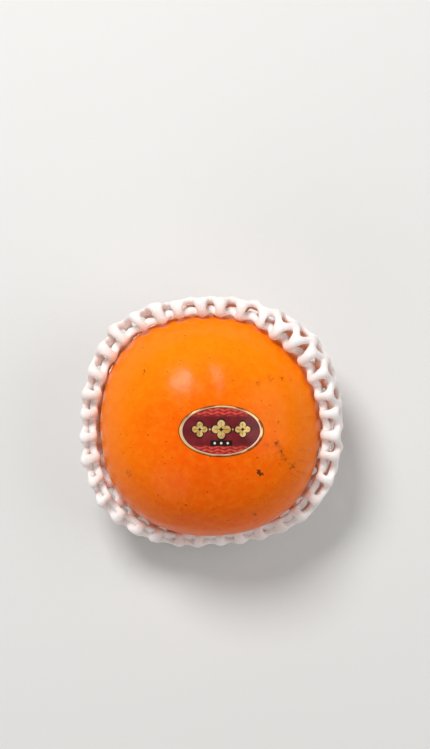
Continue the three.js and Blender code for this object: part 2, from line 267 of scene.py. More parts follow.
SECTION_CORNERS = [[share * FRUIT_RADIUS, height + FRUIT_BASE] for share, height in FRUIT_PROFILE]
SECTION = catmull_rom(SECTION_CORNERS, SECTION_STEPS)
SECTION_LENGTHS = np.concatenate([[0], np.cumsum(np.linalg.norm(np.diff(SECTION, axis=0), axis=1))])
PROFILE_LENGTH = SECTION_LENGTHS[-1]
WIDEST = SECTION_LENGTHS[np.argmax(SECTION[:, 0])]


def skin_point(length, angle):
    """The skin at `length` mm down the section from the blossom end, in the direction `angle`."""
    length, angle = np.broadcast_arrays(np.asarray(length, float), np.asarray(angle, float))
    radius = np.interp(length, SECTION_LENGTHS, SECTION[:, 0])
    height = np.interp(length, SECTION_LENGTHS, SECTION[:, 1])
    share = radius / FRUIT_RADIUS
    along = smoothstep(share, *GROOVE_DEEPENS) * (1 - smoothstep(share, *GROOVE_FADES))
    groove = GROOVE_DEPTH * along * (0.5 + 0.5 * np.cos(CORNERS * angle)) ** GROOVE_SHARPNESS
    height = height - np.where(length < WIDEST, 1, -1) * groove
    fuller = FULLER_SHARE * nearness(angle, FULLER_TOWARDS, FULLER_SPREAD)
    radius = radius * (1 - FRUIT_LOBING * np.cos(CORNERS * angle) + fuller)
    return np.stack([radius * np.cos(angle), radius * np.sin(angle), height], axis=-1)


def skin_axes(length, angle):
    """Unit vectors at a point of the skin: up along the section, and out of the skin."""
    step = 0.5
    upward = skin_point(length - step, angle) - skin_point(length + step, angle)
    upward /= np.linalg.norm(upward, axis=-1, keepdims=True)
    angle = np.broadcast_to(angle, upward.shape[:-1])
    round_axis = np.stack([-np.sin(angle), np.cos(angle), np.zeros_like(angle)], axis=-1)
    out = np.cross(round_axis, upward)
    return upward, out / np.linalg.norm(out, axis=-1, keepdims=True)


def lumps(length, angle):
    """How far the skin stands out of its smooth shape."""
    stop_from, stop_at = (PROFILE_LENGTH - rest for rest in LUMPS_STOP)
    fade = smoothstep(length, *LUMPS_START) * (1 - smoothstep(length, stop_from, stop_at))
    total = 0
    for height, turns, falls, start, drop in SKIN_LUMPS:
        round_wave = np.cos(turns * angle + start)
        total = total + height * round_wave * np.cos(falls * math.pi * length / PROFILE_LENGTH + drop)
    return total * fade


def length_at_radius(radius, angle, below):
    """Length down the section where the skin is `radius` from the axis, below the widest level or above."""
    radius, angle = np.broadcast_arrays(np.asarray(radius, float), np.asarray(angle, float))
    near = np.full(radius.shape, PROFILE_LENGTH if below else 0.0)
    far = np.full(radius.shape, float(WIDEST))
    for _ in range(HALVINGS):
        middle = (near + far) / 2
        there = skin_point(middle, angle)
        inside = np.hypot(there[..., 0], there[..., 1]) < radius
        near = np.where(inside, middle, near)
        far = np.where(inside, far, middle)
    return (near + far) / 2


def skin_height(x, y, below):
    """Height of the skin over a point of the plan, below the widest level or above."""
    angle = np.arctan2(y, x)
    length = length_at_radius(np.hypot(x, y), angle, below)
    side = -1 if below else 1
    return skin_point(length, angle)[..., 2] + side * lumps(length, angle)


def scatter(column, row, purpose):
    """A repeatable number from -1 to 1."""
    wave = math.sin(column * 12.9898 + row * 78.233 + purpose * 37.719) * 43758.5453
    return 2 * (wave - math.floor(wave)) - 1


def add_piece(name, points, faces, node, material):
    """A smooth mesh from points in mm round the fruit's axis, that stands for a solid."""
    mesh = bpy.data.meshes.new(name)
    mesh.from_pydata([tuple(p) for p in np.asarray(points, float) * MM + AXIS], [], faces)
    work = bmesh.new()
    work.from_mesh(mesh)
    bmesh.ops.remove_doubles(work, verts=work.verts, dist=MERGE_DISTANCE)
    bmesh.ops.recalc_face_normals(work, faces=work.faces)
    work.to_mesh(mesh)
    work.free()
    mesh.polygons.foreach_set("use_smooth", [True] * len(mesh.polygons))
    piece = bpy.data.objects.new(name, mesh)
    bpy.context.scene.collection.objects.link(piece)
    piece.data.materials.append(material)
    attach(piece, "root")
    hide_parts(node)
    return piece


def polar_plate(centre, edge, bottom, top, segments, shares):
    """A closed plate: rings of points at `shares` of the way from `centre` to the outline `edge`."""
    angles = np.linspace(0, 2 * math.pi, segments, endpoint=False)
    outline = np.stack(edge(angles), axis=-1)
    shares = np.asarray(shares, float)
    plan = centre + shares[:, None, None] * (outline - centre)[None]
    share_grid = np.broadcast_to(shares[:, None], plan.shape[:2])
    points, faces = [], []
    ring_size = len(shares) * segments
    for face in (bottom, top):
        middle = face(np.array([centre[0]]), np.array([centre[1]]), np.array([0.0]))
        points.append([[centre[0], centre[1], middle[0]]])
        heights = face(plan[..., 0], plan[..., 1], share_grid)
        points.append(np.concatenate([plan, heights[..., None]], axis=-1).reshape(-1, 3))

    def at(side, ring, s):
        return side * (ring_size + 1) + 1 + ring * segments + s % segments

    rim = len(shares) - 1
    for s in range(segments):
        for side in (0, 1):
            faces.append((side * (ring_size + 1), at(side, 0, s), at(side, 0, s + 1)))
            for ring in range(rim):
                near, far = at(side, ring, s), at(side, ring + 1, s)
                faces.append((near, far, at(side, ring + 1, s + 1), at(side, ring, s + 1)))
        faces.append((at(0, rim, s), at(0, rim, s + 1), at(1, rim, s + 1), at(1, rim, s)))
    return np.vstack(points), faces


class Field:
    """A number or colour that varies over a surface, with arithmetic that adds nodes."""

    def __init__(self, tree, socket):
        self.tree = tree
        self.socket = socket

    def math(self, operation, *others):
        node = self.tree.nodes.new("ShaderNodeMath")
        node.operation = operation
        for value, socket in zip((self,) + others, node.inputs):
            plug(self.tree, value, socket)
        return Field(self.tree, node.outputs[0])

    def __add__(self, other):
        return self.math("ADD", other)

    def __radd__(self, other):
        return self + other

    def __sub__(self, other):
        return self.math("SUBTRACT", other)

    def __mul__(self, other):
        return self.math("MULTIPLY", other)

    def __truediv__(self, other):
        return self.math("DIVIDE", other)

    def ramp(self, low, high):
        """0 at `low`, 1 at `high`, smooth between."""
        node = self.tree.nodes.new("ShaderNodeMapRange")
        node.interpolation_type = "SMOOTHSTEP"
        plug(self.tree, self, node.inputs["Value"])
        node.inputs["From Min"].default_value = low
        node.inputs["From Max"].default_value = high
        return Field(self.tree, node.outputs["Result"])


def plug(tree, value, socket):
    if isinstance(value, Field):
        tree.links.new(value.socket, socket)
    else:
        socket.default_value = value


def srgb(red, green, blue):
    """A screen colour as the light that it stands for."""
    parts = [c / 255 for c in (red, green, blue)]
    return tuple(c / 12.92 if c <= 0.04045 else ((c + 0.055) / 1.055) ** 2.4 for c in parts) + (1.0,)


def distance(x, y):
    """How far a place of the plan is from where `x` and `y` are 0."""
    return (x.math("POWER", 2.0) + y.math("POWER", 2.0)).math("SQRT")


class Finish:
    """A material under construction, with positions in mm round the fruit's axis."""

    def __init__(self, name, **settings):
        self.material = bpy.data.materials.new(name)
        self.material.use_nodes = True
        self.tree = self.material.node_tree
        self.shader = self.tree.nodes["Principled BSDF"]
        for label, value in settings.items():
            self.shader.inputs[label.replace("_", " ")].default_value = value
        coordinates = self.tree.nodes.new("ShaderNodeTexCoord")
        place = self.tree.nodes.new("ShaderNodeMapping")
        place.vector_type = "POINT"
        place.inputs["Location"].default_value = Vector(-AXIS / MM)
        place.inputs["Scale"].default_value = (1 / MM,) * 3
        self.tree.links.new(coordinates.outputs["Object"], place.inputs["Vector"])
        self.place = Field(self.tree, place.outputs["Vector"])
        parts = self.tree.nodes.new("ShaderNodeSeparateXYZ")
        self.tree.links.new(self.place.socket, parts.inputs[0])
        self.x, self.y, self.z = (Field(self.tree, output) for output in parts.outputs)

    def polar(self):
        """How far a point is from the fruit's axis, in mm, and its direction, in radians."""
        return distance(self.x, self.y), self.y.math("ARCTAN2", self.x)

    def moved(self, stretch=(1, 1, 1), shift=(0, 0, 0)):
        node = self.tree.nodes.new("ShaderNodeMapping")
        self.tree.links.new(self.place.socket, node.inputs["Vector"])
        node.inputs["Scale"].default_value = stretch
        node.inputs["Location"].default_value = shift
        return Field(self.tree, node.outputs["Vector"])

    def noise(self, size, detail=2.0, rough=0.5, stretch=(1, 1, 1), shift=(0, 0, 0)):
        """Cloudy noise from 0 to 1 with lumps about `size` mm across."""
        node = self.tree.nodes.new("ShaderNodeTexNoise")
        plug(self.tree, self.moved(stretch, shift), node.inputs["Vector"])
        node.inputs["Scale"].default_value = 1 / size
        node.inputs["Detail"].default_value = detail
        node.inputs["Roughness"].default_value = rough
        return Field(self.tree, node.outputs["Fac"])

    def rays(self, reach, turn, fine, length):
        """Noise drawn out along lines from the axis, `fine` lumps to a radian, each `length` mm long."""
        place = self.tree.nodes.new("ShaderNodeCombineXYZ")
        plug(self.tree, turn * fine, place.inputs[0])
        plug(self.tree, reach / length, place.inputs[1])
        node = self.tree.nodes.new("ShaderNodeTexNoise")
        plug(self.tree, Field(self.tree, place.outputs[0]), node.inputs["Vector"])
        node.inputs["Scale"].default_value = 1.0
        return Field(self.tree, node.outputs["Fac"])

    def cells(self, size, shift=(0, 0, 0)):
        """Distance from the nearest of points about `size` mm apart, as a share of that."""
        node = self.tree.nodes.new("ShaderNodeTexVoronoi")
        plug(self.tree, self.moved(shift=shift), node.inputs["Vector"])
        node.inputs["Scale"].default_value = 1 / size
        return Field(self.tree, node.outputs["Distance"])

    def spot(self, x, y, radius):
        """1 at a point of the plan, fading to 0 at `radius` mm from it."""
        return distance(self.x - x, self.y - y).ramp(radius, 0)

    def spots(self, places):
        """The sum of spots: for each its place, how far it reaches, and its strength."""
        return sum(self.spot(x, y, radius) * strength for x, y, radius, strength in places)

    def mix(self, share, first, second):
        """A colour between two. The node's colour sockets are inputs 6 and 7 and output 2."""
        node = self.tree.nodes.new("ShaderNodeMix")
        node.data_type = "RGBA"
        plug(self.tree, share, node.inputs["Factor"])
        plug(self.tree, first, node.inputs[6])
        plug(self.tree, second, node.inputs[7])
        return Field(self.tree, node.outputs[2])

    def tint(self, colour, mask, tone):
        """`colour` with a tone over it where `mask` is 1, as strongly as the tone says."""
        strength, shade = tone
        return self.mix(mask * strength, colour, shade)

    def set(self, label, value):
        plug(self.tree, value, self.shader.inputs[label])

    def bump(self, height):
        """Relief of `height` mm."""
        node = self.tree.nodes.new("ShaderNodeBump")
        node.inputs["Distance"].default_value = MM
        node.inputs["Strength"].default_value = 1.0
        plug(self.tree, height, node.inputs["Height"])
        self.tree.links.new(node.outputs["Normal"], self.shader.inputs["Normal"])


# Where specks gather on the skin: the place in plan, how far they reach from it, and how strongly.
SPECK_PATCHES = [
    (26.4, -6.6, 3.2, 1),
    (28.0, -9.6, 3.4, 1),
    (30.0, -12.8, 3.8, 1),
    (33.4, -16.2, 4.0, 1),
    (22.8, -7.0, 2.2, 1),
    (18.8, 17.4, 2.2, 1),
    (24.6, 19.4, 3.0, 1),
    (29.4, 19.6, 2.6, 1),
    (-3.6, -17.1, 1.8, 1),
    (18.2, -35.7, 2.2, 1),
    (-27.0, 22.0, 2.6, 1),
    (-33.0, -19.0, 2.8, 1),
]
SMEAR_PATCHES = [(20.6, -19.2, 2.2, 1), (19.2, -17.9, 1.7, 1), (17.8, -16.6, 1.2, 0.7)]
STREAK_PATCHES = [(38, -17, 14, 1), (40, 4, 10, 0.5)]
# The specks and the smear are on the upper side: between these heights they set in.
MARKED_ABOVE = (24, 32)
# How much likelier than elsewhere a patch makes its marks.
STAIN_IN_PATCH = 0.26
SPECKS_IN_PATCH = 0.31
SMEAR_IN_PATCH = 0.36

# The skin's ground is redder round the blossom end, and more orange outwards and to one side.
SKIN_RED = srgb(238, 86, 0)
SKIN_ORANGE = srgb(252, 126, 0)
BLUSH_REACH = (8, 50)
BLUSH_BY_REACH = 0.5
BLUSH_PER_MM = 0.009
BLUSH_BY_CLOUD = 0.35
BLUSH_LEVEL = 0.1

# What lies over the ground: how strongly at the most, and in what tone.
MOTTLE = (0.22, srgb(255, 158, 30))
PORES = (0.25, srgb(255, 176, 70))
STAIN = (0.4, srgb(186, 84, 8))
SPECKS = (0.75, srgb(116, 46, 8))
STRAY_SPECKS = (0.5, srgb(126, 56, 14))
SMEAR = (0.88, srgb(70, 32, 12))
STREAKS = (0.28, srgb(160, 74, 18))
SCRATCHES = (0.3, srgb(206, 120, 40))

# The skin's gloss, and its relief in mm.
SKIN_GLOSS = 0.1
SKIN_ROUGHNESS = 0.17
SKIN_ROUGHNESS_VARIES = 0.12
SCRATCH_ROUGHNESS = 0.15
WAX_GRAIN = 0.012
WAX_WAVES = 0.05
SPECK_DEPTH = 0.02


def skin_ground(finish):
    reach, _ = finish.polar()
    cloud = finish.noise(22, detail=3)
    blush = reach.ramp(*BLUSH_REACH) * BLUSH_BY_REACH + finish.y * BLUSH_PER_MM
    blush = blush + (cloud - 0.5) * BLUSH_BY_CLOUD + BLUSH_LEVEL
    colour = finish.mix(blush.ramp(-0.15, 0.75), SKIN_RED, SKIN_ORANGE)
    mottle = finish.noise(3.0, detail=4, rough=0.6).ramp(0.35, 0.75)
    colour = finish.tint(colour, mottle, MOTTLE)
    pores = finish.cells(1.1).ramp(0.16, 0.05) * finish.noise(7).ramp(0.45, 0.65)
    return finish.tint(colour, pores, PORES)


def skin_specks(finish, colour):
    """Sooty specks in patches over a faint brown stain, with a darker smear. Also where the specks are."""
    upper = finish.z.ramp(*MARKED_ABOVE)
    patch = finish.spots(SPECK_PATCHES).math("MINIMUM", 1.0) * upper
    stain = finish.noise(1.9, detail=3, rough=0.6, shift=(4, 6, 2)) + patch * STAIN_IN_PATCH
    colour = finish.tint(colour, stain.ramp(0.62, 0.8), STAIN)
    grit = finish.noise(1.7, detail=3, rough=0.55, stretch=(1, 1.3, 1), shift=(3, 7, 1))
    specks = (grit + patch * SPECKS_IN_PATCH).ramp(0.79, 0.89)
    colour = finish.tint(colour, specks, SPECKS)
    stray = finish.cells(12, shift=(5, 1, 8)).ramp(0.045, 0.02)
    colour = finish.tint(colour, stray, STRAY_SPECKS)
    smear = finish.spots(SMEAR_PATCHES) * upper * SMEAR_IN_PATCH
    smear = (finish.noise(1.3, detail=2, shift=(2, 5, 0)) + smear).ramp(0.66, 0.82)
    return finish.tint(colour, smear, SMEAR), specks


def skin_finish():
    finish = Finish("persimmon_skin", Subsurface_Weight=0.08, Subsurface_Scale=0.003)
    finish.shader.inputs["Specular IOR Level"].default_value = SKIN_GLOSS
    finish.shader.inputs["Subsurface Radius"].default_value = (1.0, 0.35, 0.05)
    colour, specks = skin_specks(finish, skin_ground(finish))
    streaks = finish.rays(*finish.polar(), fine=34.0, length=9.0).ramp(0.56, 0.68)
    streaks = streaks * finish.spots(STREAK_PATCHES).math("MINIMUM", 1.0)
    colour = finish.tint(colour, streaks, STREAKS)
    scratches = finish.noise(1.5, detail=2, stretch=(1, 0.12, 1), shift=(2, 3, 5)).ramp(0.66, 0.7)
    scratches = scratches * finish.noise(16, shift=(1, 8, 3)).ramp(0.5, 0.65)
    colour = finish.tint(colour, scratches, SCRATCHES)
    finish.set("Base Color", colour)

    rough = finish.noise(5, detail=3) * SKIN_ROUGHNESS_VARIES + SKIN_ROUGHNESS
    finish.set("Roughness", rough + scratches * SCRATCH_ROUGHNESS)
    waxy = finish.noise(0.5, detail=2) * WAX_GRAIN + finish.noise(2.2, detail=2) * WAX_WAVES
    finish.bump(waxy - specks * SPECK_DEPTH)
    return finish.material


CALYX_OLIVE = srgb(118, 116, 62)
CALYX_BROWN = srgb(140, 104, 58)
CALYX_DRY_EDGE = (0.75, srgb(92, 62, 36))
CALYX_VEIN_TONE = (0.4, srgb(166, 144, 92))
CALYX_VEINS_WAVER = 7.0
CALYX_VEIN_RELIEF = 0.1
CALYX_GRAIN = 0.16


def calyx_finish():
    finish = Finish("dry_calyx", Roughness=0.78)
    reach, turn = finish.polar()
    patchy = finish.noise(5.5, detail=4, rough=0.62)
    colour = finish.mix(patchy.ramp(0.35, 0.68), CALYX_OLIVE, CALYX_BROWN)
    colour = finish.tint(colour, reach.ramp(19, 26), CALYX_DRY_EDGE)
    wavering = finish.noise(6, detail=2) * CALYX_VEINS_WAVER
    veins = (turn * CALYX_VEINS + wavering).math("SINE").ramp(0.55, 1.0) * reach.ramp(4, 10)
    colour = finish.tint(colour, veins, CALYX_VEIN_TONE)
    finish.set("Base Color", colour)
    finish.bump(veins * CALYX_VEIN_RELIEF + finish.noise(1.1, detail=4, rough=0.6) * CALYX_GRAIN)
    return finish.material


BARK_DARK = srgb(74, 52, 34)
BARK_LIGHT = srgb(134, 104, 66)
CUT_DARK = srgb(150, 118, 74)
CUT_LIGHT = srgb(196, 166, 116)
CUT_STRENGTH = 0.8
# The heights over the stalk's foot between which the bark gives way to the cut.
CUT_HEIGHT = (0.35, 0.1)
BARK_RELIEF = 0.25
GRAIN_RELIEF = 0.08


def stem_finish():
    finish = Finish("cut_stalk", Roughness=0.85)
    bark = finish.noise(0.9, detail=4, rough=0.65, stretch=(1, 1, 0.3))
    colour = finish.mix(bark.ramp(0.3, 0.7), BARK_DARK, BARK_LIGHT)
    cut = finish.z.ramp(*(STEM_FOOT + height for height in CUT_HEIGHT))
    grain = finish.noise(0.45, detail=3, rough=0.7)
    fresh = finish.mix(grain.ramp(0.35, 0.65), CUT_DARK, CUT_LIGHT)
    colour = finish.tint(colour, cut, (CUT_STRENGTH, fresh))
    finish.set("Base Color", colour)
    finish.bump(bark * BARK_RELIEF + grain * GRAIN_RELIEF)
    return finish.material


# The sticker's print: its inks, with painted shadows and painted foil highlights, and the places of the
# ornament, in mm from the sticker's middle.
MAROONS = (srgb(98, 18, 24), srgb(120, 28, 34))
BRICKS = (srgb(150, 34, 34), srgb(206, 76, 58))
GOLDS = (srgb(214, 168, 86), srgb(240, 212, 142))
# The foil's own gold as a shaded brown and a lit gold mixed in patches: painted shade and painted highlights
# on the foil.
FOIL_SHADED_AND_LIT = (srgb(158, 92, 34), srgb(252, 214, 130))
FLOWER_OUTLINE = srgb(26, 12, 12)
BAR_INK = srgb(24, 12, 12)
DOT_INK = srgb(226, 214, 190)
# Painted shadow: a thin dark band round the maroon field, just inside the pale line.
PAINTED_RIM_SHADOW = srgb(60, 14, 18)
EDGE_LINE = srgb(250, 196, 172)
# Painted shadow: dark brown at the sticker's very edge.
PAINTED_EDGE_SHADOW = srgb(52, 28, 14)
# The bands start at a share of the half width, a little unevenly, and have fine waves.
BAND_STARTS = (0.58, 0.72)
BAND_UNEVEN = 0.1
WAVES_UPWARD = 4.6
WAVES_ACROSS = 1.3
WAVES_BEND = 1.6
STRIPES_ACROSS = 2.6
STRIPES_STRENGTH = 0.5
FLOWER_SPACING = 8.6
FLOWER_RISE = 0.6
FLOWER_RADIUS = 3.8
SIDE_FLOWER_SMALLER = 0.7
PETALS = 4
PETAL_ROUNDNESS = 0.6
PETAL_DEPTH = 0.62
STALK_STRENGTH = 0.75
RIB_STRENGTH = 0.7
BAR_DROP = 4.9
BAR_END = (4.6, 4.3)
BAR_SIDE = (1.25, 1.0)
DOT_SPACING = 2.6
DOT_EDGE = (0.55, 0.4)
DOTS_END = (3.8, 3.7)
# The edge, by share of the way out.
# The painted shadow round the field starts where the field stops.
FIELD_STOPS = (0.885, 0.9)
LINE_STARTS = (0.905, 0.918)
FOIL_STARTS = (0.935, 0.95)
FOIL_STOPS = (0.968, 0.98)
# Where the painted shadow at the very edge starts.
EDGE_SHADOW_STARTS = (0.975, 0.988)
FOIL_METAL = 0.55
FOIL_RISE = 0.05
STICKER_WAVES = 0.12


def sticker_ground(finish, across, upward):
    """A maroon field between two brick-red bands, which have fine waves."""
    height = upward / (LABEL_WIDTH / 2)
    field = finish.mix(finish.noise(4, detail=3).ramp(0.3, 0.7), *MAROONS)
    uneven = finish.noise(1.2, detail=2) * BAND_UNEVEN
    band = (height.math("ABSOLUTE") + uneven).ramp(*BAND_STARTS)
    bend = (across * WAVES_ACROSS).math("SINE") * WAVES_BEND
    waves = (upward * WAVES_UPWARD + bend).math("SINE")
    ripple = (across * STRIPES_ACROSS).math("SINE") * STRIPES_STRENGTH + waves
    return finish.mix(band, field, finish.mix(ripple.ramp(-0.7, 0.9), *BRICKS))


def sticker_flowers(finish, across, upward, colour):
    """Three gold flowers on a thin stalk, with dark outlines. Also where the petals are."""
    rise = upward - FLOWER_RISE
    from_middle = across.math("ABSOLUTE")
    cell = across.math("WRAP", FLOWER_SPACING / 2, -FLOWER_SPACING / 2)
    side = from_middle.ramp(FLOWER_SPACING * 0.49, FLOWER_SPACING * 0.51)
    row = from_middle.ramp(FLOWER_SPACING * 1.5, FLOWER_SPACING * 1.48)
    turn = rise.math("ARCTAN2", cell)
    petals = (turn * (PETALS / 2)).math("COSINE").math("ABSOLUTE").math("POWER", PETAL_ROUNDNESS)
    petals = petals * PETAL_DEPTH + (1 - PETAL_DEPTH)
    flower = distance(cell, rise) / (petals * FLOWER_RADIUS - side * petals * SIDE_FLOWER_SMALLER)
    gold = finish.mix(finish.noise(1.6, detail=2).ramp(0.35, 0.65), *GOLDS)
    stalk = rise.math("ABSOLUTE").ramp(0.45, 0.2)
    stalk = stalk * from_middle.ramp(FLOWER_SPACING * 1.2, FLOWER_SPACING * 1.1)
    colour = finish.tint(colour, stalk, (STALK_STRENGTH, gold))
    colour = finish.mix(flower.ramp(1.26, 1.12) * row, colour, FLOWER_OUTLINE)
    petal = flower.ramp(1.02, 0.94) * flower.ramp(0.2, 0.26) * row
    rib = (turn * PETALS).math("COSINE").ramp(0.965, 0.99) * flower.ramp(0.8, 0.7)
    return finish.mix(petal * (rib * -RIB_STRENGTH + 1.0), colour, gold), petal


def sticker_bar(finish, across, upward, colour):
    """A small dark bar below the flowers, with three pale dots."""
    from_middle = across.math("ABSOLUTE")
    rise = upward + BAR_DROP
    bar = from_middle.ramp(*BAR_END) * rise.math("ABSOLUTE").ramp(*BAR_SIDE)
    colour = finish.mix(bar, colour, BAR_INK)
    dot = distance(across.math("WRAP", DOT_SPACING / 2, -DOT_SPACING / 2), rise).ramp(*DOT_EDGE)
    return finish.mix(dot * from_middle.ramp(*DOTS_END), colour, DOT_INK)


def sticker_edge(finish, across, upward, colour):
    """A painted shadow round the field, a pale line, outside it a gold foil line with painted highlights and
    painted shade in patches, and a painted shadow at the very edge. Also where the pale line begins and the
    gold one ends.
    """
    reach = distance(across / (LABEL_LENGTH / 2), upward / (LABEL_WIDTH / 2))
    rim = reach.ramp(*LINE_STARTS)
    # Gold foil, with painted shade and painted highlights in patches.
    foil = finish.mix(finish.noise(5.5, detail=1).ramp(0.4, 0.6), *FOIL_SHADED_AND_LIT)
    # A thin painted shadow round the field, inside the pale line.
    colour = finish.mix(reach.ramp(*FIELD_STOPS), colour, PAINTED_RIM_SHADOW)
    colour = finish.mix(rim, colour, EDGE_LINE)
    colour = finish.mix(reach.ramp(*FOIL_STARTS), colour, foil)
    # A painted shadow at the sticker's very edge.
    colour = finish.mix(reach.ramp(*EDGE_SHADOW_STARTS), colour, PAINTED_EDGE_SHADOW)
    return colour, rim, reach.ramp(*FOIL_STOPS)


def sticker_finish():
    finish = Finish("printed_sticker", Roughness=0.34, Coat_Weight=0.1, Coat_Roughness=0.12)
    finish.shader.inputs["Specular IOR Level"].default_value = 0.25
    across = finish.x - LABEL_CENTRE[0]
    upward = finish.y - LABEL_CENTRE[1]
    colour = sticker_ground(finish, across, upward)
    colour, petal = sticker_flowers(finish, across, upward, colour)
    colour = sticker_bar(finish, across, upward, colour)
    colour, rim, end = sticker_edge(finish, across, upward, colour)
    finish.set("Base Color", colour)
    foil = ((petal + rim).math("MINIMUM", 1.0) - end).math("MAXIMUM", 0.0)
    finish.set("Metallic", foil * FOIL_METAL)
    finish.bump(foil * FOIL_RISE + finish.noise(9, detail=1) * STICKER_WAVES)
    return finish.material


FOAM_WHITE = srgb(250, 245, 243)
FOAM_SHADE = srgb(240, 230, 226)
FOAM_CELLS = 0.05
FOAM_WAVES = 0.16


def foam_finish():
    finish = Finish("white_foam", Roughness=0.62, Subsurface_Weight=0.35, Subsurface_Scale=0.002)
    finish.shader.inputs["Specular IOR Level"].default_value = 0.35
    finish.shader.inputs["Subsurface Radius"].default_value = (1.0, 0.75, 0.65)
    finish.set("Base Color", finish.mix(finish.noise(6, detail=2).ramp(0.3, 0.7), FOAM_WHITE, FOAM_SHADE))
    finish.bump(finish.cells(0.55) * FOAM_CELLS + finish.noise(1.6, detail=3) * FOAM_WAVES)
    return finish.material


def make_fruit():
    lengths = np.linspace(0, PROFILE_LENGTH, FRUIT_RINGS + 1)[1:-1]
    angles = np.linspace(0, 2 * math.pi, FRUIT_SEGMENTS, endpoint=False)
    length, angle = np.meshgrid(lengths, angles, indexing="ij")
    _, out = skin_axes(length, angle)
    rings = skin_point(length, angle) + out * lumps(length, angle)[..., None]
    points = np.vstack([skin_point([0, PROFILE_LENGTH], [0, 0]) * [0, 0, 1], rings.reshape(-1, 3)])

    def at(ring, s):
        return 2 + ring * FRUIT_SEGMENTS + s % FRUIT_SEGMENTS

    last = len(lengths) - 1
    faces = []
    for s in range(FRUIT_SEGMENTS):
        faces.append((0, at(0, s), at(0, s + 1)))
        faces.append((1, at(last, s + 1), at(last, s)))
        faces += [(at(r, s), at(r + 1, s), at(r + 1, s + 1), at(r, s + 1)) for r in range(last)]
    add_piece("persimmon_skin", points, faces, "fruit", skin_finish())


def calyx_radius(angle):
    """How far the calyx reaches from the axis."""
    lobe_angle = 2 * math.pi / CALYX_LOBES
    turn = np.mod(angle, lobe_angle) - lobe_angle / 2
    lobe = (CALYX_TIP - CALYX_POINT - CALYX_NOTCH) * np.cos(CALYX_LOBES / 2 * turn) ** CALYX_BREADTH
    ragged = sum(reach * np.sin(waves * angle + start) for reach, waves, start in CALYX_RAGGED)
    return CALYX_NOTCH + lobe + ragged + CALYX_POINT * np.exp(-((turn / CALYX_POINT_ANGLE) ** 2))


def make_calyx():
    def top(x, y, share):
        angle = np.arctan2(y, x)
        wave = 0.5 + 0.5 * np.sin(CALYX_WAVES * angle)
        crinkle = 0.5 + 0.5 * np.sin(CALYX_CRINKLES * angle + CALYX_CRINKLE_LEAN * share)
        drop = CALYX_WAVE_DEPTH * wave * share**3 + CALYX_CRINKLE_DEPTH * crinkle * share**6
        return skin_height(x, y, True) - CALYX_CLEARANCE - drop

    def bottom(x, y, share):
        angle = np.arctan2(y, x)
        disc = 1 - smoothstep(np.hypot(x, y), CALYX_DISC_RADIUS * CALYX_DISC_FLAT, CALYX_DISC_RADIUS)
        vein = np.abs(np.sin(CALYX_VEINS * angle)) ** CALYX_VEIN_SHARPNESS
        vein = vein * smoothstep(share, *CALYX_VEINS_START) * (1 - share)
        thickness = CALYX_THICKNESS - CALYX_EDGE_THINNER * share**4
        return top(x, y, share) - thickness - CALYX_DISC_RISE * disc - CALYX_VEIN_RISE * vein

    points, faces = polar_plate(
        np.array([0.0, 0.0]),
        lambda a: (calyx_radius(a) * np.cos(a), calyx_radius(a) * np.sin(a)),
        bottom,
        top,
        CALYX_SEGMENTS,
        np.linspace(0, 1, CALYX_RINGS + 1)[1:],
    )
    add_piece("calyx_lobes", points, faces, "calyx", calyx_finish())


def make_stem():
    low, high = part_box("stem")
    foot, height = low.z / MM, (high.z - low.z) / MM
    outline = np.vstack([STEM_CUT, catmull_rom(STEM_PROFILE, STEM_PROFILE_STEPS), STEM_ROOT])
    points = [[0, 0, foot + STEM_CUT_DIP], [0, 0, foot + height]]
    for radius, rise in outline:
        for s in range(STEM_SEGMENTS):
            angle = 2 * math.pi * s / STEM_SEGMENTS
            spot = Vector((math.cos(angle), math.sin(angle), 0)) * STEM_LUMPS_ROUND
            spot.z = rise * STEM_LUMPS_ALONG
            rough = STEM_ROUGHNESS * noise.noise(spot) if radius > STEM_ROUGH_FROM else 0
            reach = radius * STEM_RADIUS * (1 + rough)
            points.append([reach * math.cos(angle), reach * math.sin(angle), foot + rise * height])
    last = len(outline) - 1
    faces = []
    for s in range(STEM_SEGMENTS):
        ring = [2 + r * STEM_SEGMENTS + s for r in range(last + 1)]
        following = [2 + r * STEM_SEGMENTS + (s + 1) % STEM_SEGMENTS for r in range(last + 1)]
        faces.append((0, following[0], ring[0]))
        faces.append((1, ring[last], following[last]))
        faces += [(ring[r], following[r], following[r + 1], ring[r + 1]) for r in range(last)]
    add_piece("stalk_stub", points, faces, "stem", stem_finish())


def make_label():
    def under(x, y, _):
        return skin_height(x, y, False) + LABEL_CLEARANCE

    def top(x, y, share):
        rim = smoothstep(share, *LABEL_RIM_STARTS) * (1 - smoothstep(share, *LABEL_RIM_STOPS))
        rounded = LABEL_ROUNDING * smoothstep(share, *LABEL_ROUNDED)
        return under(x, y, share) + LABEL_THICKNESS + LABEL_RIM_RISE * rim - rounded

    points, faces = polar_plate(
        np.array(LABEL_CENTRE),
        lambda a: (
            LABEL_CENTRE[0] + LABEL_LENGTH / 2 * np.cos(a),
            LABEL_CENTRE[1] + LABEL_WIDTH / 2 * np.sin(a),
        ),
        under,
        top,
        LABEL_SEGMENTS,
        np.concatenate([LABEL_FLAT_RINGS, LABEL_RIM_RINGS]),
    )
    add_piece("oval_sticker", points, faces, "label", sticker_finish())


FOOT_LENGTH = float(length_at_radius(FOOT_RADIUS, math.pi / 8, True))


